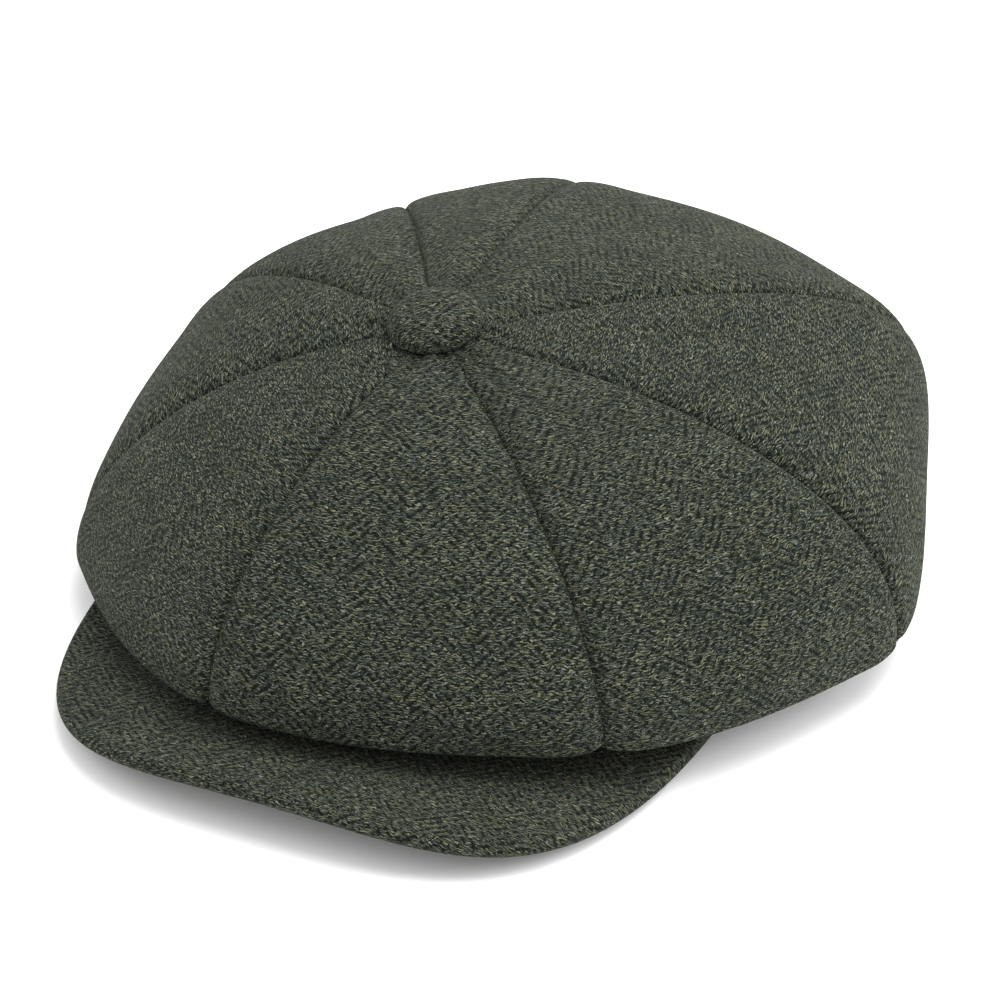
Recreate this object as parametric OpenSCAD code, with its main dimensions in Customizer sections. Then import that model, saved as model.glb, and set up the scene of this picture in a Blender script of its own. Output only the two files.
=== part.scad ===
// Eight-panel newsboy cap lying on a table: eight sewn crown panels on a head band, a short
// stiffened peak, a covered button on top, and the lining, interlining and sweatband inside.
// Millimetres. Up is +Z, the peak points to -Y, the wearer's left is +X.
// The origin is the middle of the head opening, on the plane the band rests on.

/* [Head opening] */
// Width of the opening inside the sweatband
opening_width = 166; // [140:1:190]
// Length of the opening inside the sweatband
opening_length = 202; // [170:1:225]
// Height of the head band
band_height = 27; // [18:1:40]

/* [Crown] */
// How far the crown reaches out all round, 1 is as made
crown_spread = 1.0; // [0.92:0.01:1.1]
// Height of the point where the eight seams meet
crown_height = 81; // [70:1:110]
// Thickness of the tweed with its backing
tweed_thick = 1.6; // [1:0.1:3]
// How far the crown cloth droops before it turns in to the band
droop = 8; // [4:1:20]
// Gap left along every crown seam, as a share of a panel's width
seam_share = 0.003; // [0.001:0.001:0.01]

/* [Peak] */
// Half the width of the peak
peak_half_width = 90; // [75:1:100]
// How far the peak's front edge is from the middle of the opening
peak_reach = 157; // [140:1:175]
// Height of the peak's arch at its front edge
peak_arch = 10; // [4:1:25]
// Thickness of the stiffening board
board_thick = 2.0; // [1:0.1:3]
// Thickness of each tweed cover on the peak
cover_thick = 1.2; // [0.8:0.1:2]
// Gap between the peak's seam edge and the band
hinge_gap = 1.2; // [0.5:0.1:3]

/* [Button] */
// Diameter of the covered button
button_width = 26; // [18:1:34]
// Height of its dome
button_dome = 7; // [4:0.5:12]

/* [Hidden] */
$fn = 48;

// band layers, from the outside in
sweat_thick = 1.2;
inter_thick = 0.8;
band_cloth = 2.0;
wall = sweat_thick + inter_thick + band_cloth;
bx = opening_width / 2 + wall;
by = opening_length / 2 + wall;

// the crown has slumped a little, so each seam has its own direction, reach, height and roundness
// directions are in degrees from the front, turning toward the wearer's left
seam_turn = [-11, 36, 80, 128, 190, 220, 262, 304];
seam_reach = [132, 127, 128, 121, 118, 110, 102, 118];
seam_level = [21, 19, 14, 36, 32, 29, 28, 12];
seam_round = [1.9, 1.75, 2.15, 2.35, 2.2, 2.0, 2.05, 1.7];
panel_swell = [9, 9, 6, 9, 4, 3, 3, 9];
crown_mid = [-2, -5];
button_at = [-8, -34];
puff = 2.5;
top_hole = 0.045;
s_steps = 8;
t_steps = 21;

tweed = [0.25, 0.27, 0.23];
satin = [0.10, 0.12, 0.11];
cotton = [0.07, 0.07, 0.07];
canvas = [0.80, 0.78, 0.70];
board = [0.90, 0.90, 0.86];
steel = [0.62, 0.63, 0.64];

function pick(list, k) = list[(k + 8) % 8];
function mix(a, b, s) = a + (b - a) * s;
function seam_end(k, less) = let(a = pick(seam_turn, k), r = pick(seam_reach, k) * crown_spread - less)
    [crown_mid[0] + r * sin(a), crown_mid[1] - r * cos(a), pick(seam_level, k)];
// widest line of the crown, panel k, s runs from one seam to the next
function rim_at(k, s, less) =
    let(p = seam_end(k, less), q = seam_end(k + 1, less), m = mix(p, q, s), d = q - p,
        n = [d[1], -d[0], 0] / norm([d[0], d[1]]))
    m + n * pick(panel_swell, k) * pow(max(0, 4 * s * (1 - s)), 0.75);
// how far a point stands outside the band
function clear_of_band(p) = let(q = norm([p[0] / bx, p[1] / by])) norm([p[0], p[1]]) * (1 - 1 / q);
// where the crown is sewn to the top of the band
function band_at(k, s, less) = let(a = -22.5 + 45 * (k + s))
    [(bx + 0.1) * sin(a), -(by + 0.1) * cos(a), band_height + 0.1 + less];
function crown_at(k, s, t, less) =
    let(p = rim_at(k, s, less), m = mix(pick(seam_round, k), pick(seam_round, k + 1), s))
    t <= 1 ?
        let(u = 90 * t, f = pow(sin(u), 2 / m), g = pow(max(0, cos(u)), 2 / m), top = crown_height - less)
        [mix(button_at[0], p[0], f), mix(button_at[1], p[1], f),
         p[2] + (top - p[2]) * g + puff * pow(max(0, 4 * s * (1 - s)), 0.7) * sin(u) * g]
    :
        let(b = band_at(k, s, less), w = t - 1, d = [p[0] - b[0], p[1] - b[1], 0],
            h = min(droop, 2 + 0.25 * clear_of_band(p)) - less, p1 = p - [0, 0, h], p2 = b + d * 0.55)
        p * pow(1 - w, 3) + p1 * 3 * w * pow(1 - w, 2) + p2 * 3 * w * w * (1 - w) + b * pow(w, 3);

// closed solid between an outer and an inner grid of points
module between(a, b, ring = false) {
    ni = len(a);
    nj = len(a[0]);
    o = ni * nj;
    last = ring ? ni - 1 : ni - 2;
    polyhedron(points = concat([for (r = a) for (p = r) p], [for (r = b) for (p = r) p]),
        faces = concat(
            [for (i = [0:last], j = [0:nj - 2]) let(c = i * nj + j, e = ((i + 1) % ni) * nj + j)
                each [[c, e, e + 1], [c, e + 1, c + 1],
                      [o + c, o + e + 1, o + e], [o + c, o + c + 1, o + e + 1]]],
            [for (i = [0:last]) let(c = i * nj, e = ((i + 1) % ni) * nj, z = nj - 1)
                each [[e, c, o + c], [e, o + c, o + e],
                      [c + z, e + z, o + e + z], [c + z, o + e + z, o + c + z]]],
            ring ? [] : [for (j = [0:nj - 2]) let(e = (ni - 1) * nj + j)
                each [[j, j + 1, o + j + 1], [j, o + j + 1, o + j],
                      [e + 1, e, o + e], [e + 1, o + e, o + e + 1]]]),
        convexity = 6);
}

// t is spread so that the shoulder and the turn-in have short facets
function t_of(j) = top_hole + (2 - top_hole) * j / t_steps;
module crown_panel(k) {
    grid = function (less) [for (i = [0:s_steps]) let(s = mix(seam_share, 1 - seam_share, i / s_steps))
        [for (j = [0:t_steps]) crown_at(k, s, t_of(j), less)]];
    color(tweed) between(grid(0), grid(tweed_thick));
}
module crown_panel_front() { crown_panel(0); }
module crown_panel_front_left() { crown_panel(1); }
module crown_panel_left() { crown_panel(2); }
module crown_panel_back_left() { crown_panel(3); }
module crown_panel_back() { crown_panel(4); }
module crown_panel_back_right() { crown_panel(5); }
module crown_panel_right() { crown_panel(6); }
module crown_panel_front_right() { crown_panel(7); }

// upright oval walls of the head band
function oval(less) = [for (i = [0:71]) [(bx - less) * sin(i * 5), -(by - less) * cos(i * 5)]];
module oval_wall(from, to, low, high) {
    translate([0, 0, low]) linear_extrude(high - low) difference() {
        polygon(oval(from));
        polygon(oval(to));
    }
}
module outer_band() { color(tweed) oval_wall(0, band_cloth, 0, band_height); }
module band_interlining() {
    color(canvas) oval_wall(band_cloth, band_cloth + inter_thick, 1, band_height - 1);
}
module sweatband() { color(cotton) oval_wall(band_cloth + inter_thick, wall, 0, band_height); }

// the lining is cut smaller than the crown and hangs from the top of the band
lining_thick = 0.8;
lining_mid = [3, -6];
lining_half = [92, 99];
lining_level = 38;
lining_top_at = [-6, -28, crown_height - 12];
function lining_rim(a, less) = [lining_mid[0] + (lining_half[0] - less) * sin(a),
                                lining_mid[1] - (lining_half[1] - less) * cos(a), lining_level];
function side_at(a, w, less) = let(low = [(bx - 1.8 - less) * sin(a), -(by - 1.8 - less) * cos(a),
                                          band_height + 0.2])
    mix(low, lining_rim(a, less) - [0, 0, 0.2], w);
function top_at(a, w, less) = let(r = lining_rim(a, less), f = sin(90 * w), g = cos(90 * w))
    [mix(lining_top_at[0], r[0], f), mix(lining_top_at[1], r[1], f),
     lining_level + (lining_top_at[2] - less - lining_level) * g];
module lining_side() {
    grid = function (less) [for (i = [0:47]) [for (j = [0:3]) side_at(i * 7.5, 1 - j / 3, less)]];
    color(satin) between(grid(0), grid(lining_thick), ring = true);
}
module lining_top() {
    outer = [for (i = [0:47]) [for (j = [1:8]) top_at(i * 7.5, j / 8, 0)]];
    inner = [for (i = [0:47]) [for (j = [1:8]) top_at(i * 7.5, j / 8, lining_thick)]];
    color(satin) {
        between(outer, inner, ring = true);
        translate([lining_top_at[0], lining_top_at[1], top_at(0, 1 / 8, 0)[2] - lining_thick])
            linear_extrude(lining_thick)
                polygon([for (i = [0:47]) let(p = top_at(i * 7.5, 1 / 8, 0))
                    [p[0] - lining_top_at[0], p[1] - lining_top_at[1]] * 0.999]);
    }
}

// peak outline by direction: inner edge beside the band, outer edge a rounded rectangle
peak_turn = 70;
function peak_inner(a) = 1 / sqrt(pow(sin(a) / (bx + hinge_gap), 2) + pow(cos(a) / (by + hinge_gap), 2));
function peak_outer(a) = pow(pow(abs(sin(a)) / peak_half_width, 3.7) + pow(cos(a) / peak_reach, 3.7), -1 / 3.7);
function ease(x) = let(c = min(1, max(0, x))) c * c * (3 - 2 * c);
function peak_r(a, v, inset) = let(i = peak_inner(a), full = peak_outer(a) - i,
    wide = max(2.5, full * ease((peak_turn + 1 - abs(a)) / 16)))
    i + (wide - inset) * v;
function peak_z(x, y) = let(arch = max(2, peak_arch - (y + peak_reach) * 0.115))
    1.0 + arch * max(0, 1 - pow(x / (peak_half_width + 2), 2));
function peak_point(a, v, inset, up) = let(r = peak_r(a, v, inset), x = r * sin(a), y = -r * cos(a))
    [x, y, peak_z(x, y) + up];
module peak_layer(low, high, inset, turn) {
    grid = function (up) [for (i = [0:40]) let(a = turn * (i / 20 - 1))
        [for (j = [0:5]) peak_point(a, j / 5, inset, up)]];
    between(grid(high), grid(low));
}
module peak_under_cover() { color(tweed) peak_layer(0, cover_thick, 0, peak_turn); }
module peak_board() { color(board) peak_layer(cover_thick + 0.1, cover_thick + board_thick - 0.1, 1.2, peak_turn - 4); }
module peak_top_cover() {
    color(tweed) peak_layer(cover_thick + board_thick, 2 * cover_thick + board_thick, 0, peak_turn);
}

// covered button: tweed over a metal dome, held by a shank and a washer inside the crown
module at_button(up) {
    translate([button_at[0], button_at[1], crown_height + up]) rotate([6, -6, 0]) children();
}
module dome(r, h, cut = 0) {
    k = (r * r + h * h) / (2 * h);
    intersection() {
        translate([0, 0, h - k]) sphere(k, $fn = 64);
        translate([0, 0, cut]) cylinder(h = h - cut + 1, r = r);
    }
}
module button_cover() {
    color(tweed) at_button(1.7) {
        difference() {
            union() {
                translate([0, 0, 1.4]) dome(button_width / 2, button_dome - 1.4);
                cylinder(h = 1.41, r = button_width / 2);
            }
            translate([0, 0, -1]) cylinder(h = 2.41, r = button_width / 2 - 1.2);
            translate([0, 0, 1.4]) dome(button_width / 2 - 1.2, button_dome - 2.6);
        }
    }
}
module button_shell() {
    color(steel) at_button(1.7) difference() {
        union() {
            translate([0, 0, 1.4]) dome(button_width / 2 - 1.25, button_dome - 2.65);
            cylinder(h = 1.41, r = button_width / 2 - 1.25);
        }
        translate([0, 0, 0.6]) cylinder(h = 1.2, r = button_width / 2 - 2.2);
        translate([0, 0, 1.75]) dome(button_width / 2 - 3, button_dome - 4);
    }
}
module button_shank() { color(steel) at_button(-3.4) cylinder(h = 4.9, r = 1.2); }
module button_washer() {
    color(steel) at_button(-4.4) difference() {
        cylinder(h = 0.8, r = 7);
        translate([0, 0, -0.1]) cylinder(h = 1, r = 1.3);
    }
}

crown_panel_front();
crown_panel_front_left();
crown_panel_left();
crown_panel_back_left();
crown_panel_back();
crown_panel_back_right();
crown_panel_right();
crown_panel_front_right();
outer_band();
band_interlining();
sweatband();
lining_side();
lining_top();
peak_board();
peak_top_cover();
peak_under_cover();
button_cover();
button_shell();
button_shank();
button_washer();
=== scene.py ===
# %% [markdown]
# # A tweed newsboy cap, made piece by piece
#
# The cap is eight cloth panels sewn into a full crown, a head band, a short stiffened peak and a
# covered button, with a satin lining and a ribbed sweatband inside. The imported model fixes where
# everything is. This script makes the cloth that a hand would feel, in the same place.

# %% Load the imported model
import bpy
import math
import numpy as np
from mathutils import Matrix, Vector


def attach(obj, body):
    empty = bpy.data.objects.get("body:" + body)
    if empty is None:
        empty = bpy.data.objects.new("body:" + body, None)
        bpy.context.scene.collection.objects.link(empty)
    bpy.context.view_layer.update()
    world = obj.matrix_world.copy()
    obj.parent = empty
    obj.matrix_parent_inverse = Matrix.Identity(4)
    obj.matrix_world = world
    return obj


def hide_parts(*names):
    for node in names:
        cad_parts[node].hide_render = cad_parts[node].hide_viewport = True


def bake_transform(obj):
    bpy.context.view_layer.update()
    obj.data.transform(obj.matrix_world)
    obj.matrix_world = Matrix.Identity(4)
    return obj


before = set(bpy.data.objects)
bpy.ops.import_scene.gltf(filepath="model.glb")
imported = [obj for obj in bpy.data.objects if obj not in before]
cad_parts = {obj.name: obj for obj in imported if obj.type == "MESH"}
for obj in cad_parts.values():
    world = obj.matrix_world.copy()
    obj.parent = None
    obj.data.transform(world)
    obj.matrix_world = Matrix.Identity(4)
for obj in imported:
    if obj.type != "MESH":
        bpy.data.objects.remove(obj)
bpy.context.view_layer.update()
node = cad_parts
rng = np.random.default_rng(8)

# %% [markdown]
# ## Camera, floor and light
#
# The camera stands in front, round to the wearer's left, and looks down at the cap with a long
# lens, as a product shot is taken. A long lens keeps near and far panels in proportion. The cap
# lies on a plain pale sweep of card, lit by a large soft lamp above and a weaker one each side,
# because a big lamp is what makes cloth look soft and leaves only a faint shadow.

# %% Camera
TURN, TILT, FAR = math.radians(24), math.radians(34), 1.122
side = np.array([math.cos(TURN), math.sin(TURN), 0.0])
back = np.array([math.sin(TURN) * math.cos(TILT), -math.cos(TURN) * math.cos(TILT), math.sin(TILT)])
rise = np.cross(back, side)
aim = side * -0.0040 + rise * 0.0065
cam_data = bpy.data.cameras.new("camera")
cam_data.lens = 142.6
cam_data.sensor_width = 36
cam_data.clip_end = 20
cam = bpy.data.objects.new("camera", cam_data)
bpy.context.scene.collection.objects.link(cam)
cam.location = Vector(aim + back * FAR)
cam.rotation_euler = Vector(back).to_track_quat("Z", "Y").to_euler()
bpy.context.scene.camera = cam
print("camera", FAR, "m away with a", round(cam_data.lens, 1), "mm lens")


# %% Floor and lamps
def select_none():
    if bpy.context.object and bpy.context.object.mode != "OBJECT":
        bpy.ops.object.mode_set(mode="OBJECT")
    bpy.ops.object.select_all(action="DESELECT")


select_none()
bpy.ops.mesh.primitive_plane_add(size=6)
floor = bpy.context.object
floor.name = "floor"
for name, where, size, power in [
    ("lamp_top", (0.45, 0.35, 1.9), 1.6, 30),
    ("lamp_left", (-1.5, -0.4, 1.2), 1.1, 5),
    ("lamp_right", (1.5, 0.5, 0.9), 1.0, 16),
]:
    lamp = bpy.data.lights.new(name, "AREA")
    lamp.shape, lamp.size, lamp.energy = "DISK", size, power
    lamp_obj = bpy.data.objects.new(name, lamp)
    bpy.context.scene.collection.objects.link(lamp_obj)
    lamp_obj.location = where
    lamp_obj.rotation_euler = (Vector(where) - Vector((0, 0, 0.04))).to_track_quat("Z", "Y").to_euler()
world = bpy.data.worlds.new("studio")
world.use_nodes = True
world.node_tree.nodes["Background"].inputs[0].default_value = (1, 1, 1, 1)
world.node_tree.nodes["Background"].inputs[1].default_value = 1.15
bpy.context.scene.world = world
bpy.context.scene.view_settings.view_transform = "Standard"

# %% [markdown]
# ## Writing cloth as maths
#
# A weave is arithmetic: which thread a point is on, and whether that thread is on top there. It
# could be painted as a picture, but a formula stays sharp at any distance. Signal wraps one
# socket, so that a plain Python expression adds the Math nodes, and Finish holds the material.


# %% A socket that does arithmetic
class Signal:
    def __init__(self, finish, socket):
        self.finish, self.socket = finish, socket

    def op(self, kind, *others):
        return self.finish.add("ShaderNodeMath", {"operation": kind}, [self, *others])

    def __add__(self, b):
        return self.op("ADD", b)

    def __radd__(self, b):
        return self.op("ADD", b)

    def __sub__(self, b):
        return self.op("SUBTRACT", b)

    def __rsub__(self, b):
        return self.finish.add("ShaderNodeMath", {"operation": "SUBTRACT"}, [b, self])

    def __mul__(self, b):
        return self.op("MULTIPLY", b)

    def __rmul__(self, b):
        return self.op("MULTIPLY", b)

    def __truediv__(self, b):
        return self.op("DIVIDE", b)

    def __mod__(self, b):
        return self.op("FLOORED_MODULO", b)

    def __lt__(self, b):
        return self.op("LESS_THAN", b)


class Finish:
    """A material: add() puts in any node and hands back its first output, or the one named."""

    def __init__(self, name):
        self.mat = bpy.data.materials.new(name)
        self.mat.use_nodes = True
        self.tree = self.mat.node_tree
        self.skin = self.tree.nodes["Principled BSDF"]

    def add(self, kind, settings=None, inputs=(), out=0):
        n = self.tree.nodes.new(kind)
        for key, value in (settings or {}).items():
            if key == "stops":
                ramp = n.color_ramp
                while len(ramp.elements) < len(value):
                    ramp.elements.new(0.5)
                for e, (at, colour) in zip(ramp.elements, value):
                    e.position, e.color = at, (*colour, 1)
            else:
                setattr(n, key, value)
        pairs = inputs.items() if isinstance(inputs, dict) else enumerate(inputs)
        for key, value in pairs:
            if isinstance(value, Signal):
                self.tree.links.new(value.socket, n.inputs[key])
            else:
                n.inputs[key].default_value = value
        return Signal(self, n.outputs[out])

    def link(self, value, name):
        self.tree.links.new(value.socket, self.skin.inputs[name])

    def fixed(self, **values):
        for name, value in values.items():
            self.skin.inputs[name.replace("_", " ")].default_value = value
        return self

    def vec(self, x, y, z=0.0):
        return self.add("ShaderNodeCombineXYZ", {}, [x, y, z])

    def noise(self, where, scale, detail=2.0, rough=0.5):
        return self.add("ShaderNodeTexNoise", {}, {"Vector": where, "Scale": scale,
                                                   "Detail": detail, "Roughness": rough})

    def ramp(self, value, stops):
        return self.add("ShaderNodeValToRGB", {"stops": stops}, [value])

    def blend(self, factor, a, b):
        n = self.tree.nodes.new("ShaderNodeMix")
        n.data_type = "RGBA"
        for key, value in ((0, factor), (6, a), (7, b)):
            if isinstance(value, Signal):
                self.tree.links.new(value.socket, n.inputs[key])
            else:
                n.inputs[key].default_value = value if key == 0 else (*value, 1)
        return Signal(self, n.outputs[2])

    def step(self, value, low, high):
        return self.add("ShaderNodeMapRange", {"interpolation_type": "SMOOTHSTEP"}, [value, low, high])

    def bump(self, height, distance, strength=1.0, under=None):
        ins = {"Height": height, "Distance": distance, "Strength": strength}
        if under is not None:
            ins["Normal"] = under
        return self.add("ShaderNodeBump", {}, ins)


# %% [markdown]
# ## The herringbone tweed
#
# The cloth is a two-over-two twill: each thread passes over two and under two, one step further
# along on each row, which draws a slanting line. Every fourteen threads the slant turns round,
# and the two slants meet in a zigzag like a fish's bones. The warp is almost black green. The
# weft is olive, with tan, straw and blue-grey wool spun into it, so each pick changes colour
# along its length. The pattern reads the cloth's own flat measure (the "weave" map, in metres),
# so that the stripes follow each panel from the button down to the band, as they are cut.


# %% Tweed
THREAD = 0.00068
STRIPE = 14
# each kind of loose fibre: direction in degrees, seed, colour, strength
FIBRES = [
    (35, 0.0, (0.220, 0.225, 0.155), 0.85),
    (-50, 3.0, (0.175, 0.180, 0.115), 0.8),
    (85, 6.0, (0.110, 0.140, 0.125), 0.7),
    (-70, 9.0, (0.002, 0.003, 0.002), 0.75),
    (5, 12.0, (0.003, 0.004, 0.003), 0.5),
]


def tweed_cloth(name):
    f = Finish(name)
    flat = f.add("ShaderNodeUVMap", {"uv_map": "weave"})
    xy = f.add("ShaderNodeSeparateXYZ", {}, [flat])
    u, v = xy, Signal(f, xy.socket.node.outputs[1])
    # hand of the loom: threads wander a little
    wander = f.noise(flat, 70, 1.0)
    elsewhere = f.add("ShaderNodeVectorMath", {"operation": "ADD"}, [flat, (5, 9, 2)])
    wander2 = f.noise(elsewhere, 90, 1.0)
    a = u / THREAD + (wander - 0.5) * 1.8
    b = v / THREAD + (wander2 - 0.5) * 1.8
    i, j = a.op("FLOOR"), b.op("FLOOR")
    stripe = (a / STRIPE).op("FLOOR")
    turn = stripe % 2.0
    climb = i.op("PINGPONG", float(STRIPE)) + turn * 2.0
    weft_up = ((j + climb) % 4.0) < 1.5
    across_warp = a.op("FRACT") * 2 - 1
    across_weft = b.op("FRACT") * 2 - 1
    round_warp = 1 - across_warp * across_warp
    round_weft = 1 - across_weft * across_weft
    # colour along each thread: picks are spun from mixed wool, so their hue drifts
    weft_hue = f.noise(f.vec(u * 90, j * 5.3, 7.0), 1.0, 2.0, 0.6)
    weft_tone = f.noise(f.vec(u * 900, j * 3.7, 1.0), 1.0, 2.0, 0.6)
    warp_tone = f.noise(f.vec(i * 4.1, v * 900, 3.0), 1.0, 2.0, 0.6)
    weft = f.ramp(weft_hue, [(0.28, (0.021, 0.033, 0.031)), (0.43, (0.029, 0.038, 0.029)),
                             (0.55, (0.042, 0.047, 0.030)), (0.66, (0.078, 0.077, 0.043)),
                             (0.78, (0.150, 0.138, 0.076))])
    weft = f.blend(f.step(weft_tone, 0.44, 0.66) * 0.5, weft, (0.008, 0.011, 0.008))
    # painted shade: each weft thread's colour is darkened toward its edges, where the yarn rounds down
    # between threads
    weft = f.blend(f.step(1 - round_weft, 0.25, 0.8) * 0.75, weft, (0.006, 0.008, 0.006))
    warp = f.ramp(warp_tone, [(0.32, (0.0020, 0.0028, 0.0023)), (0.55, (0.0048, 0.0066, 0.0054)),
                              (0.70, (0.018, 0.024, 0.019))])
    colour = f.blend(weft_up, warp, weft)
    # the hairy surface: fine curled fibres, pale and dark, lying every way over the threads
    swirl = f.add("ShaderNodeTexNoise", {}, {"Vector": flat, "Scale": 420.0, "Detail": 1.0}, "Color")
    curl = f.add("ShaderNodeVectorMath", {"operation": "SCALE"}, {0: swirl, "Scale": 0.0022})
    loose = f.add("ShaderNodeVectorMath", {"operation": "ADD"}, [flat, curl])
    for turned, seed, tint, much in FIBRES:
        way = f.add("ShaderNodeMapping", {}, {"Vector": loose, "Rotation": (0, 0, math.radians(turned)),
                                              "Scale": (650, 3300, 1), "Location": (seed, seed, seed)})
        hair = f.step(f.noise(way, 1.0, 0.0), 0.665, 0.715)
        colour = f.blend(hair * much, colour, tint)
    patch = f.noise(flat, 60, 3.0)
    colour = f.blend(f.step(patch, 0.35, 0.65) * 0.2, colour, (0.006, 0.008, 0.006))
    f.link(colour, "Base Color")
    body = (1 - weft_up) * round_warp * 0.6 + weft_up * round_weft * 1.2
    lumps = f.noise(flat, 1100, 2.0)
    f.link(f.bump(body * 0.6 + lumps * 0.9, 0.00042, 1.0), "Normal")
    f.fixed(Roughness=0.95, Sheen_Weight=0.05, Sheen_Roughness=0.5, Sheen_Tint=(0.55, 0.62, 0.48, 1),
            Specular_IOR_Level=0.1)
    return f.mat


tweed = tweed_cloth("herringbone_tweed")
print("tweed: stripes of", round(STRIPE * THREAD * 1000, 1), "mm")

# %% [markdown]
# ## The shape of the crown
#
# Each seam has its own direction, reach and height, because a soft crown settles to one side
# when the cap is put down. Between the seams each panel swells out. From the button the cloth
# runs over the shoulder to its widest line, droops, and turns in to the top of the band. These
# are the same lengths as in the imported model, in millimetres.

# %% Crown lengths
BAND_X, BAND_Y, BAND_H = 87.0, 105.0, 27.0
SEW_GAP = 0.1
SEAM_TURN = np.radians([-11, 36, 80, 128, 190, 220, 262, 304])
SEAM_REACH = np.array([132.0, 127, 128, 121, 118, 110, 102, 118])
SEAM_LEVEL = np.array([21.0, 19, 14, 36, 32, 29, 28, 12])
SEAM_ROUND = np.array([1.9, 1.75, 2.15, 2.35, 2.2, 2.0, 2.05, 1.7])
SWELL = np.array([9.0, 9, 6, 9, 4, 3, 3, 9])
CROWN_MID = np.array([-2.0, -5.0])
BUTTON_AT = np.array([-8.0, -34.0])
CROWN_TOP = 81.0
BUTTON_UP, BUTTON_LEAN = 1.7, math.radians(6)
print("crown seams reach", SEAM_REACH.min(), "to", SEAM_REACH.max(), "mm")


def seam_end(k):
    a, r = SEAM_TURN[k % 8], SEAM_REACH[k % 8]
    return np.array([CROWN_MID[0] + r * math.sin(a), CROWN_MID[1] - r * math.cos(a), SEAM_LEVEL[k % 8]])


def crown_skin(k, s, t):
    """Points of panel k: s runs from seam to seam, t from the button (0) over the rim (1) to the band (2)."""
    s, t = np.broadcast_arrays(np.asarray(s, float), np.asarray(t, float))
    p, q = seam_end(k), seam_end(k + 1)
    d = q - p
    n = np.array([d[1], -d[0], 0]) / np.hypot(d[0], d[1])
    hump = np.clip(4 * s * (1 - s), 0, None)
    rim = p + d * s[..., None] + n * (SWELL[k % 8] * hump ** 0.75)[..., None]
    m = SEAM_ROUND[k % 8] * (1 - s) + SEAM_ROUND[(k + 1) % 8] * s
    ang = np.radians(90) * np.clip(t, 0, 1)
    f = np.sin(ang) ** (2 / m)
    g = np.clip(np.cos(ang), 0, None) ** (2 / m)
    height = rim[..., 2] + (CROWN_TOP - rim[..., 2]) * g + 2.5 * hump ** 0.7 * np.sin(ang) * g
    top = np.stack([BUTTON_AT[0] + (rim[..., 0] - BUTTON_AT[0]) * f,
                    BUTTON_AT[1] + (rim[..., 1] - BUTTON_AT[1]) * f, height], -1)
    w = np.clip(t - 1, 0, 1)[..., None]
    a = np.radians(-22.5 + 45 * (k + s))
    band = np.stack([(BAND_X + SEW_GAP) * np.sin(a), -(BAND_Y + SEW_GAP) * np.cos(a),
                     np.full_like(a, BAND_H + SEW_GAP)], -1)
    flat = (rim - band) * [1, 1, 0]
    wide = np.hypot(rim[..., 0], rim[..., 1])
    beyond = wide * (1 - 1 / np.hypot(rim[..., 0] / BAND_X, rim[..., 1] / BAND_Y))
    droop = np.minimum(8, 2 + 0.25 * beyond)
    p1 = rim - droop[..., None] * [0, 0, 1]
    p2 = band + flat * 0.55
    under = rim * (1 - w) ** 3 + p1 * 3 * w * (1 - w) ** 2 + p2 * 3 * w * w * (1 - w) + band * w ** 3
    return np.where((t <= 1)[..., None], top, under)


def outward(k, s, t, e=0.004):
    """Unit normals of the crown's skin, pointing out of the cap."""
    a = crown_skin(k, np.clip(s + e, 0, 1), t) - crown_skin(k, np.clip(s - e, 0, 1), t)
    b = crown_skin(k, s, t + e) - crown_skin(k, s, t - e)
    n = np.cross(b, a)
    return n / np.maximum(np.linalg.norm(n, axis=-1, keepdims=True), 1e-9)


# %% [markdown]
# ## A sheet from a grid of points
#
# Cloth is made here straight from its points, because a sewn panel is one curved sheet whose
# edge shape matters. cloth_sheet joins a grid into quads, stores the flat measure for the weave,
# and gives the sheet its thickness with a Solidify modifier that is then applied.


# %% Cloth sheet
def cloth_sheet(name, pts, flat, thick, mat, ring=False, cap=False, body="cap", swaps=()):
    """pts and flat are grids [rows, columns, 3 or 2]: points in mm, flat measure in mm."""
    ni, nj = pts.shape[:2]
    mesh = bpy.data.meshes.new(name)
    rows = range(ni if ring else ni - 1)
    faces = [(i * nj + j, i * nj + j + 1, ((i + 1) % ni) * nj + j + 1, ((i + 1) % ni) * nj + j)
             for i in rows for j in range(nj - 1)]
    uv = [(flat[i, j], flat[i, j + 1], flat[(i + 1) % ni if ni == len(flat) else i + 1, j + 1],
           flat[(i + 1) % ni if ni == len(flat) else i + 1, j]) for i in rows for j in range(nj - 1)]
    verts = (pts.reshape(-1, 3) / 1000).tolist()
    if cap:
        verts.append((pts[:, 0].mean(0) / 1000).tolist())
        for i in rows:
            faces.append((len(verts) - 1, i * nj, ((i + 1) % ni) * nj))
            uv.append((flat[:, 0].mean(0), flat[i, 0], flat[(i + 1) % ni if ni == len(flat) else i + 1, 0]))
    mesh.from_pydata(verts, [], faces)
    layer = mesh.uv_layers.new(name="weave")
    layer.data.foreach_set("uv", (np.concatenate([np.asarray(c).reshape(-1) for c in uv]) / 1000))
    obj = bpy.data.objects.new(name, mesh)
    bpy.context.scene.collection.objects.link(obj)
    mesh.materials.append(mat)
    mesh.shade_smooth()
    select_none()
    bpy.context.view_layer.objects.active = obj
    obj.select_set(True)
    mod = obj.modifiers.new("thickness", "SOLIDIFY")
    mod.thickness = thick / 1000
    mod.offset = -1
    mod.use_even_offset = False
    bpy.ops.object.modifier_apply(modifier="thickness")
    if body:
        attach(obj, body)
    if swaps:
        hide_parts(*swaps)
    return obj


def sheet_area(pts, ring=False):
    """Area of a grid of points in mm, as square metres."""
    p = np.concatenate([pts, pts[:1]]) if ring else pts
    a = np.cross(p[1:, :-1] - p[:-1, :-1], p[:-1, 1:] - p[:-1, :-1])
    b = np.cross(p[1:, :-1] - p[1:, 1:], p[:-1, 1:] - p[1:, 1:])
    return float(np.linalg.norm(a, axis=-1).sum() + np.linalg.norm(b, axis=-1).sum()) / 2e6


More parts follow.
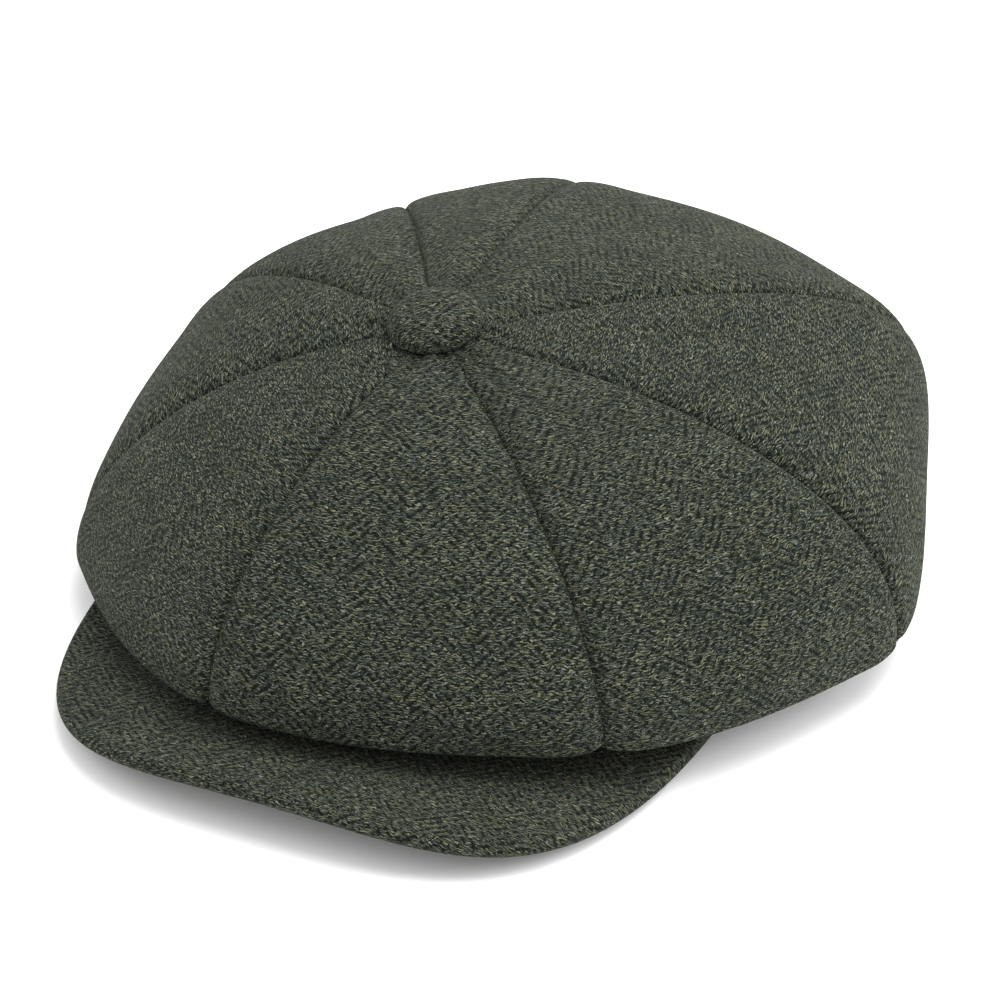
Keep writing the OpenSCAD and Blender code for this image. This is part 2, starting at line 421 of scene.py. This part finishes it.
# %% [markdown]
# ## The eight crown panels
#
# A crown panel is a leaf of tweed, pointed at the button and widest at the rim. Where two are
# sewn, the cloth dives between them into a fine groove and its edge is turned inside, so the
# panel stands a little proud beside the seam. The rest is a soft surface: shallow hollows, and
# small gathers where eight points are pulled together under the button.


# %% Crown panels
PANELS = ["front", "front_left", "left", "back_left", "back", "back_right", "right", "front_right"]
WAVES = [(rng.uniform(60, 190), rng.normal(size=3), rng.uniform(0, 6.28)) for _ in range(14)]


def hollows(p):
    """Low soft undulation of worn cloth, about a millimetre, in mm."""
    out = np.zeros(p.shape[:-1])
    for length, way, phase in WAVES:
        way = way / np.linalg.norm(way)
        out += np.sin(p @ way * (6.28318 / length) * 1.6 + phase) * length / 190
    return out * 0.42


def seam_dive(k, which, t):
    """Direction in which the seam allowance turns, shared by the two panels at the seam."""
    a = outward(k, np.full_like(t, float(which)), t)
    b = outward((k + 1) % 8 if which else (k - 1) % 8, np.full_like(t, 1.0 - which), t)
    n = a + b
    return -n / np.linalg.norm(n, axis=-1, keepdims=True)


def panel_points(k, s, t):
    """The skin with the groove at each seam and the soft surface between."""
    base = crown_skin(k, s, t)
    n = outward(k, s, t)
    reach = np.linalg.norm(crown_skin(k, 1.0, t) - crown_skin(k, 0.0, t), axis=-1)
    edge = np.minimum(s, 1 - s) * reach
    far = np.linalg.norm(base[..., :2] - BUTTON_AT, axis=-1)
    near_button = np.exp(-np.clip(far - 13, 0, None) / 16)
    groove = -1.1 * np.exp(-(edge / 1.2) ** 1.3) - 0.45 * np.exp(-edge / 5)
    proud = 0.4 * np.exp(-((edge - 9) / 7) ** 2) * np.clip(reach / 45, 0, 1)
    gathers = near_button * 0.7 * np.cos(s * 6.28318 * 2) * np.clip(reach / 10, 0, 1)
    for which in (0, 1):
        near = np.exp(-((s if which == 0 else 1 - s) * reach / 3.5) ** 2)[..., None]
        n = n * (1 - near) - seam_dive(k, which, t) * near
    n = n / np.linalg.norm(n, axis=-1, keepdims=True)
    lift = groove * np.clip(reach / 8, 0.25, 1) + proud + hollows(base) * np.clip(edge / 18, 0, 1) + gathers
    fade = np.clip((1.93 - t) / 0.15, 0, 1)
    # gathered cloth stands up under the button and fills the room below it
    dx, dy = base[..., 0] - BUTTON_AT[0], base[..., 1] - BUTTON_AT[1]
    under_button = CROWN_TOP + BUTTON_UP - 0.8 + math.tan(BUTTON_LEAN) * (dx + dy)
    heap = np.clip(under_button - base[..., 2], 0, None) * np.clip((21 - far) / 11, 0, 1) ** 1.5
    return base + n * (lift * fade)[..., None] + heap[..., None] * [0, 0, 1], n


t_line = np.concatenate([np.linspace(0.035, 0.25, 14)[:-1], np.linspace(0.25, 1.0, 40)[:-1],
                         np.linspace(1.0, 2.0, 34)])
s_line = 0.5 - 0.5 * np.cos(np.linspace(0, math.pi, 45))
s_line = 0.5 * s_line + 0.5 * np.linspace(0, 1, 45)
for k, place in enumerate(PANELS):
    s, t = np.meshgrid(s_line, t_line, indexing="ij")
    pts, n = panel_points(k, s, t)
    # the edges turn down inside the seam, less so where the rim folds tight
    room = (1 - 0.8 * np.exp(-((t_line - 1.17) / 0.2) ** 2))[:, None]
    for which in (0, 1):
        dive = seam_dive(k, which, t_line)
        edge = pts[-1 if which else 0]
        folds = [edge + dive * room * d for d in (1.0, 2.2, 3.6)]
        pts = np.concatenate([pts, folds] if which else [folds[::-1], pts])
    # flat measure: width from the centre line, length down it
    mid = pts.shape[0] // 2
    across = np.concatenate([np.zeros((1, pts.shape[1])),
                             np.cumsum(np.linalg.norm(np.diff(pts, axis=0), axis=-1), axis=0)])
    down = np.concatenate([[0], np.cumsum(np.linalg.norm(np.diff(pts[mid], axis=0), axis=-1))])
    flat = np.stack([across - across[mid], np.broadcast_to(down, across.shape)], -1)
    flat[..., 0] += 60 * STRIPE * THREAD * 1000
    flat[..., 1] += 300 + 40 * k
    obj = cloth_sheet("crown_cloth_" + place, pts, flat, 1.1, tweed, swaps=["crown_panel_" + place])
    area = sheet_area(pts)

# %% [markdown]
# ## The head band
#
# The band is a strip of the same tweed, sewn to the crown above and folded under at its lower
# edge, where it meets the sweatband. The fold is what the cap stands on. Inside the fold lies a
# strip of stiff canvas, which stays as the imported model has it.

# %% Head band
turns = np.radians(np.arange(0, 360, 2.5))


def oval(less, z):
    """Ring of points inside the band's outer oval by less, at height z, in mm."""
    less, z = np.broadcast_arrays(np.asarray(less, float), np.asarray(z, float))
    a = turns[:, None]
    return np.stack([(BAND_X - less) * np.sin(a), -(BAND_Y - less) * np.cos(a), z + 0 * a], -1)


bend = np.radians(np.linspace(0, 90, 6))
profile_less = np.concatenate([np.full(9, 0.0), 1.0 - np.cos(bend[1:]) * 1.0, [1.6, 2.0]])
profile_z = np.concatenate([np.linspace(BAND_H, 1.0, 9), 1.0 - np.sin(bend[1:]) * 1.0, [0.0, 0.05]])
band_pts = oval(profile_less + 0.02, profile_z)
round_way = np.concatenate([[0], np.cumsum(np.linalg.norm(np.diff(band_pts[:, 0], axis=0), axis=-1))])
round_way = np.append(round_way, round_way[-1] + np.linalg.norm(band_pts[0, 0] - band_pts[-1, 0]))
down = np.concatenate([[0], np.cumsum(np.linalg.norm(np.diff(band_pts[0], axis=0), axis=-1))])
band_flat = np.stack(np.meshgrid(round_way, down, indexing="ij"), -1)
band_cloth = cloth_sheet("band_cloth", band_pts, band_flat, 1.6, tweed, ring=True, swaps=["outer_band"])
print("band cloth cut", round(round_way[-1]), "by", round(down[-1]), "mm")

# %% [markdown]
# ## Sweatband and its stitches
#
# The sweatband is a ribbed cotton tape that the forehead touches. One row of stitches near the
# lower edge holds it to the band. A stitch is a short thread that dives at both ends, so one is
# modelled and copied round.

# %% Ribbed tape, satin, canvas, board and tin
def ribbed_tape():
    f = Finish("ribbed_tape")
    flat = f.add("ShaderNodeUVMap", {"uv_map": "weave"})
    xy = f.add("ShaderNodeSeparateXYZ", {}, [flat])
    rib = ((xy / 0.0011) * 6.28318).op("SINE")
    fine = f.noise(flat, 900, 2.0)
    # painted shade: the tape's colour follows the rib height, darker in the hollows between the ribs
    f.link(f.ramp(rib * 0.5 + fine * 0.6, [(0.1, (0.008, 0.009, 0.009)), (0.9, (0.030, 0.032, 0.030))]),
           "Base Color")
    f.link(f.bump(rib * 0.5 + fine * 0.5, 0.00018, 0.9), "Normal")
    return f.fixed(Roughness=0.8, Sheen_Weight=0.2, Sheen_Roughness=0.5).mat


def satin_cloth():
    f = Finish("satin_lining")
    flat = f.add("ShaderNodeUVMap", {"uv_map": "weave"})
    xy = f.add("ShaderNodeSeparateXYZ", {}, [flat])
    v = Signal(f, xy.socket.node.outputs[1])
    floats = f.noise(f.vec(xy * 260, v * 4200, 0.0), 1.0, 2.0)
    shade = f.noise(flat, 30, 2.0)
    # painted shade: part of the satin's colour follows the float relief of the fine bump, darker where it is
    # low
    f.link(f.ramp(floats * 0.6 + shade * 0.4, [(0.3, (0.010, 0.016, 0.013)), (0.7, (0.022, 0.034, 0.027))]),
           "Base Color")
    f.link(f.step(floats, 0.2, 0.8) * 0.14 + 0.42, "Roughness")
    creases = f.noise(f.vec(xy * 75, v * 22, 4.0), 1.0, 2.0)
    f.link(f.bump(floats, 0.00006, 0.7, f.bump(creases, 0.0016, 0.8)), "Normal")
    return f.fixed(Sheen_Weight=0.3, Sheen_Roughness=0.3, Specular_IOR_Level=0.4).mat


def plain_finish(name, low, high, scale, rough, bump, metal=0.0):
    f = Finish(name)
    where = f.add("ShaderNodeTexCoord", {}, (), "Object")
    grain = f.noise(where, scale, 3.0)
    f.link(f.ramp(grain, [(0.3, low), (0.7, high)]), "Base Color")
    f.link(grain * 0.2 + rough, "Roughness")
    f.link(f.bump(grain, bump, 0.6), "Normal")
    return f.fixed(Metallic=metal).mat


tape = ribbed_tape()
satin = satin_cloth()
canvas = plain_finish("stiff_canvas", (0.45, 0.42, 0.34), (0.62, 0.58, 0.48), 900, 0.75, 0.0002)
board_sheet = plain_finish("board_sheet", (0.70, 0.70, 0.67), (0.80, 0.80, 0.77), 300, 0.45, 0.00003)
tin = plain_finish("stamped_tin", (0.50, 0.50, 0.50), (0.66, 0.66, 0.66), 700, 0.28, 0.00002, 1.0)
thread = plain_finish("sewing_thread", (0.016, 0.022, 0.016), (0.030, 0.040, 0.030), 2500, 0.6, 0.0001)

# %% Sweatband
wave = 0.25 * np.sin(turns * 11) + 0.2 * np.sin(turns * 7 + 1)
profile_less = np.array([2.2, 2.6, 3.2, 3.7, 3.75, 3.75, 3.75, 3.75, 3.75, 3.7, 3.6])
profile_z = np.array([0.5, 0.15, 0.3, 1.2, 4, 9, 14, 19, 23, 26, 27.0])
tape_pts = oval(profile_less, profile_z)
tape_pts[:, 4:, :2] *= (1 - (np.abs(wave)[:, None, None] + 0.15) * np.linspace(0, 1, 7)[None, :, None] / 95)
down = np.concatenate([[0], np.cumsum(np.linalg.norm(np.diff(tape_pts[0], axis=0), axis=-1))])
tape_flat = np.stack(np.meshgrid(round_way * 0.97, down, indexing="ij"), -1)
tape_cloth = cloth_sheet("sweatband_tape", tape_pts, tape_flat, 0.9, tape, ring=True,
                         swaps=["sweatband"])
print("sweatband cut", round(round_way[-1] * 0.97), "by", round(down[-1]), "mm")


# %% [markdown]
# ## One stitch, copied round
#
# Each stitch is a short rounded length of thread. It could be one long curve that goes in and out,
# but only the part on top is seen, so a small cylinder with bevelled ends is made once and copied.

# %% Stitches
def stitch_row(name, places, ways, long=0.0026, wide=0.0005, body="cap"):
    """places and ways are arrays in metres: each stitch lies at a place, along a way."""
    select_none()
    bpy.ops.mesh.primitive_cylinder_add(vertices=6, radius=wide / 2, depth=long,
                                        rotation=(0, math.radians(90), 0))
    one = bpy.context.object
    bpy.ops.object.mode_set(mode="EDIT")
    bpy.ops.mesh.select_all(action="SELECT")
    bpy.ops.mesh.bevel(offset=wide * 0.3, segments=1)
    bpy.ops.object.mode_set(mode="OBJECT")
    bpy.ops.object.transform_apply(location=True, rotation=True, scale=True)
    v = np.array([p.co[:] for p in one.data.vertices])
    f = [list(p.vertices) for p in one.data.polygons]
    bpy.data.objects.remove(one)
    verts, faces = [], []
    for p, w in zip(places, ways):
        x = w / np.linalg.norm(w)
        y = np.cross([0, 0, 1.0], x)
        y /= max(np.linalg.norm(y), 1e-9)
        z = np.cross(x, y)
        base = len(verts)
        verts += (v[:, :1] * x + v[:, 1:2] * y + v[:, 2:3] * z + p).tolist()
        faces += [[base + q for q in face] for face in f]
    mesh = bpy.data.meshes.new(name)
    mesh.from_pydata(verts, [], faces)
    mesh.materials.append(thread)
    obj = bpy.data.objects.new(name, mesh)
    bpy.context.scene.collection.objects.link(obj)
    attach(obj, body)
    print(name, len(places), "stitches")
    return obj


a = np.radians(np.arange(0, 360, 2.2))
inner = 3.75
places = np.stack([(BAND_X - inner) * np.sin(a), -(BAND_Y - inner) * np.cos(a),
                   np.full_like(a, 3.0)], -1) / 1000
ways = np.stack([(BAND_X - inner) * np.cos(a), (BAND_Y - inner) * np.sin(a), 0 * a], -1)
stitch_row("sweatband_stitches", places, ways)

# %% [markdown]
# ## The lining
#
# The lining is thin satin, cut smaller than the crown so that it takes the head and the tweed
# hangs free outside it. A strip is gathered on to the band, and a top piece closes it over. Its
# soft pleats run up from the gathered edge and die out toward the middle.

# %% Lining
LINING_MID, LINING_HALF, LINING_LEVEL = np.array([3.0, -6.0]), np.array([92.0, 99.0]), 38.0
LINING_TOP = np.array([-6.0, -28.0, 69.0])
fine_turns = np.radians(np.arange(0, 360, 1.25))


def lining_rim(a):
    return np.stack([LINING_MID[0] + LINING_HALF[0] * np.sin(a), LINING_MID[1] - LINING_HALF[1] * np.cos(a),
                     np.full_like(a, LINING_LEVEL)], -1)


pleat = np.sin(fine_turns * 34 + 0.8 * np.sin(fine_turns * 5)) * 0.7 + 0.3 * np.sin(fine_turns * 21 + 2)
low = np.stack([(BAND_X - 1.9) * np.sin(fine_turns), -(BAND_Y - 1.9) * np.cos(fine_turns),
                np.full_like(fine_turns, BAND_H + 0.2)], -1)
rim = lining_rim(fine_turns)
w = np.linspace(0, 1, 9)
strip = low[:, None] * (1 - w[None, :, None]) + (rim - [0, 0, 0.1])[:, None] * w[None, :, None]
toward = (strip - [0, 0, 60]) * [1, 1, 0.6]
toward /= np.linalg.norm(toward, axis=-1, keepdims=True)
gather = np.sin(np.clip(w, 0.08, 1) * 1.57)
strip = strip - toward * (1.3 + pleat[:, None, None] * 1.1) * gather[None, :, None]
way = np.concatenate([[0], np.cumsum(np.linalg.norm(np.diff(strip[:, 4], axis=0), axis=-1))])
way = np.append(way, way[-1] + np.linalg.norm(strip[0, 4] - strip[-1, 4]))
down = np.concatenate([[0], np.cumsum(np.linalg.norm(np.diff(strip, axis=1), axis=-1).max(0))])
side_flat = np.stack(np.meshgrid(way, down[::-1], indexing="ij"), -1)
side_cloth = cloth_sheet("lining_strip", strip[:, ::-1], side_flat, 0.4, satin, ring=True,
                         swaps=["lining_side"])
w = np.linspace(0.03, 1, 26)
top = LINING_TOP + (rim[:, None] - LINING_TOP) * np.sin(w * 1.5708)[None, :, None]
top[..., 2] = LINING_LEVEL + (LINING_TOP[2] - LINING_LEVEL) * np.cos(w * 1.5708)[None, :]
fold = pleat[:, None] * np.clip((w - 0.35) / 0.65, 0, 1)[None, :] ** 1.5
top = top - np.array([0, 0, 1]) * (1.3 + fold * 1.3)[..., None] * np.clip(w * 3, 0, 1)[None, :, None]
flat = (top[..., :2] - LINING_TOP[:2]) * 1.15
flat = np.concatenate([flat, flat[:1]]) + 200
top_cloth = cloth_sheet("lining_top_cloth", top, flat, 0.4, satin, ring=True, cap=True,
                        swaps=["lining_top"])
size = np.ptp(flat.reshape(-1, 2), axis=0) / 1000
sheet_area(top, True)
print("lining top cut about", np.round(size * 1000), "mm")

# %% [markdown]
# ## The peak
#
# Two covers are sewn edge to edge and turned over a sheet of stiff board, which arches across
# the forehead. The upper cover rolls over the edge, so the seam hides just underneath and no
# stitch shows.

# %% Peak shape
PEAK_TURN, PEAK_W, PEAK_L, PEAK_ARCH, PEAK_THICK = 70.0, 90.0, 157.0, 10.0, 4.4


def peak_inner(a, gap=1.2):
    return 1 / np.sqrt((np.sin(a) / (BAND_X + gap)) ** 2 + (np.cos(a) / (BAND_Y + gap)) ** 2)


def peak_outer(a):
    return ((np.abs(np.sin(a)) / PEAK_W) ** 3.7 + (np.cos(a) / PEAK_L) ** 3.7) ** (-1 / 3.7)


def peak_width(a):
    full = peak_outer(a) - peak_inner(a)
    c = np.clip((PEAK_TURN + 1 - np.abs(np.degrees(a))) / 16, 0, 1)
    return np.maximum(2.5, full * c * c * (3 - 2 * c))


def peak_floor(x, y):
    arch = np.maximum(2, PEAK_ARCH - (y + PEAK_L) * 0.115)
    return 1.0 + arch * np.clip(1 - (x / (PEAK_W + 2)) ** 2, 0, None)


def peak_cloth(name, path_r, path_h, swaps=()):
    """path_r: share of the peak's width and inset in mm along a path; path_h: height in the peak."""
    a = np.radians(np.linspace(-PEAK_TURN, PEAK_TURN, 113))[:, None]
    inner, wide = peak_inner(a), peak_width(a)
    room = np.clip(wide / 12, 0.2, 1)
    share, inset = path_r
    r = inner + (wide - inset * room) * share
    x, y = r * np.sin(a), -r * np.cos(a)
    z = peak_floor(x, y) + path_h
    pts = np.stack([x, y, z], -1)
    along = np.concatenate([np.zeros((len(a), 1)),
                            np.cumsum(np.linalg.norm(np.diff(pts, axis=1), axis=-1), axis=1)], 1)
    run = inner + along
    flat = np.stack([run * np.sin(a), run * np.cos(a)], -1) + [60 * STRIPE * THREAD * 1000, 700]
    obj = cloth_sheet(name, pts, flat, 0.9, tweed, body=None, swaps=swaps)
    sheet_area(pts)
    return obj


h = PEAK_THICK / 2
roll = np.radians(np.linspace(90, -50, 12))
top_share = (np.concatenate([np.linspace(0, 1, 26)[:-1], np.ones(12)]),
             np.concatenate([np.linspace(0, h, 26)[:-1], h - h * np.cos(roll)]))
top_h = np.concatenate([np.full(25, 2 * h), h + h * np.sin(roll)])
peak_top = peak_cloth("peak_top_cloth", top_share, top_h, swaps=["peak_top_cover"])
roll = np.radians(np.linspace(-50, -90, 5))
low_share = (np.concatenate([np.ones(5), np.linspace(1, 0, 24)[1:]]),
             np.concatenate([h - (h - 0.25) * np.cos(roll), np.full(23, h)]))
low_h = np.concatenate([h + h * np.sin(roll), np.zeros(23)]) + 0.12
peak_under = peak_cloth("peak_under_cloth", low_share, low_h, swaps=["peak_under_cover"])

# %% Peak board
select_none()
source = node["peak_board"]
board_mesh = source.data.copy()
board_piece = bpy.data.objects.new("peak_stiffener", board_mesh)
bpy.context.scene.collection.objects.link(board_piece)
bpy.context.view_layer.objects.active = board_piece
board_piece.select_set(True)
bpy.ops.object.mode_set(mode="EDIT")
bpy.ops.mesh.select_all(action="SELECT")
bpy.ops.mesh.remove_doubles(threshold=0.00001)
bpy.ops.object.mode_set(mode="OBJECT")
board_mesh.materials.clear()
board_mesh.materials.append(board_sheet)
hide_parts("peak_board")
for piece in (peak_top, peak_under, board_piece):
    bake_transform(piece)

# %% [markdown]
# ## The covered button
#
# A disc of tweed is drawn over a tin dome and tucked in underneath. The cover is a low round
# cushion with a soft rolled edge. It sits down into the gathered points of the panels.

# %% Button cover
ring_turns = np.radians(np.arange(0, 360, 5.0))
R, H = 13.0, 7.0
u = np.linspace(0.04, 1, 16)
over_r, over_z = R * np.sin(u * 1.5708) ** 0.92, 0.55 + (H - 0.55) * np.cos(u * 1.5707) ** 0.75
tuck = np.radians(np.linspace(12, 90, 7))
r_line = np.concatenate([over_r, R - 1.3 + 1.3 * np.cos(tuck), [8.0]])
z_line = np.concatenate([over_z, 0.55 - 1.3 * np.sin(tuck), [-0.75]])
pull = 1 + 0.012 * np.sin(ring_turns * 9)[:, None] * np.clip((np.arange(len(r_line)) - 12) / 8, 0, 1)[None]
local = np.stack([r_line * pull * np.sin(ring_turns)[:, None], -r_line * pull * np.cos(ring_turns)[:, None],
                  z_line + 0 * pull], -1)
lean_x, lean_y = BUTTON_LEAN, -BUTTON_LEAN
rx = np.array([[1, 0, 0], [0, math.cos(lean_x), -math.sin(lean_x)], [0, math.sin(lean_x), math.cos(lean_x)]])
ry = np.array([[math.cos(lean_y), 0, math.sin(lean_y)], [0, 1, 0], [-math.sin(lean_y), 0, math.cos(lean_y)]])
pts = local @ (ry @ rx).T + [BUTTON_AT[0], BUTTON_AT[1], CROWN_TOP + BUTTON_UP]
run = np.concatenate([[0.5], 0.5 + np.cumsum(np.hypot(np.diff(r_line), np.diff(z_line)))])
closed = np.append(ring_turns, ring_turns[0])
flat = np.stack([run * np.sin(closed)[:, None], -run * np.cos(closed)[:, None]], -1)
spin = math.radians(24)
flat = flat @ np.array([[math.cos(spin), -math.sin(spin)], [math.sin(spin), math.cos(spin)]]) + [655.4, 905]
button = cloth_sheet("button_cloth", pts, flat, 0.7, tweed, ring=True, cap=True, swaps=["button_cover"])
across = float(2 * run[-1]) / 1000
print("button disc", round(across * 1000), "mm across")

# %% [markdown]
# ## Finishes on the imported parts, and the floor
#
# The canvas, the tin dome, its shank and the washer are right as they are and only need their
# finish. The floor is white card.

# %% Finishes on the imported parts
for name, mat in [("band_interlining", canvas), ("button_shell", tin), ("button_shank", tin),
                  ("button_washer", tin)]:
    for piece_slot in node[name].material_slots:
        piece_slot.material = mat
card = Finish("white_card")
card.fixed(Base_Color=(0.97, 0.97, 0.97, 1), Roughness=0.8)
floor.data.materials.append(card.mat)
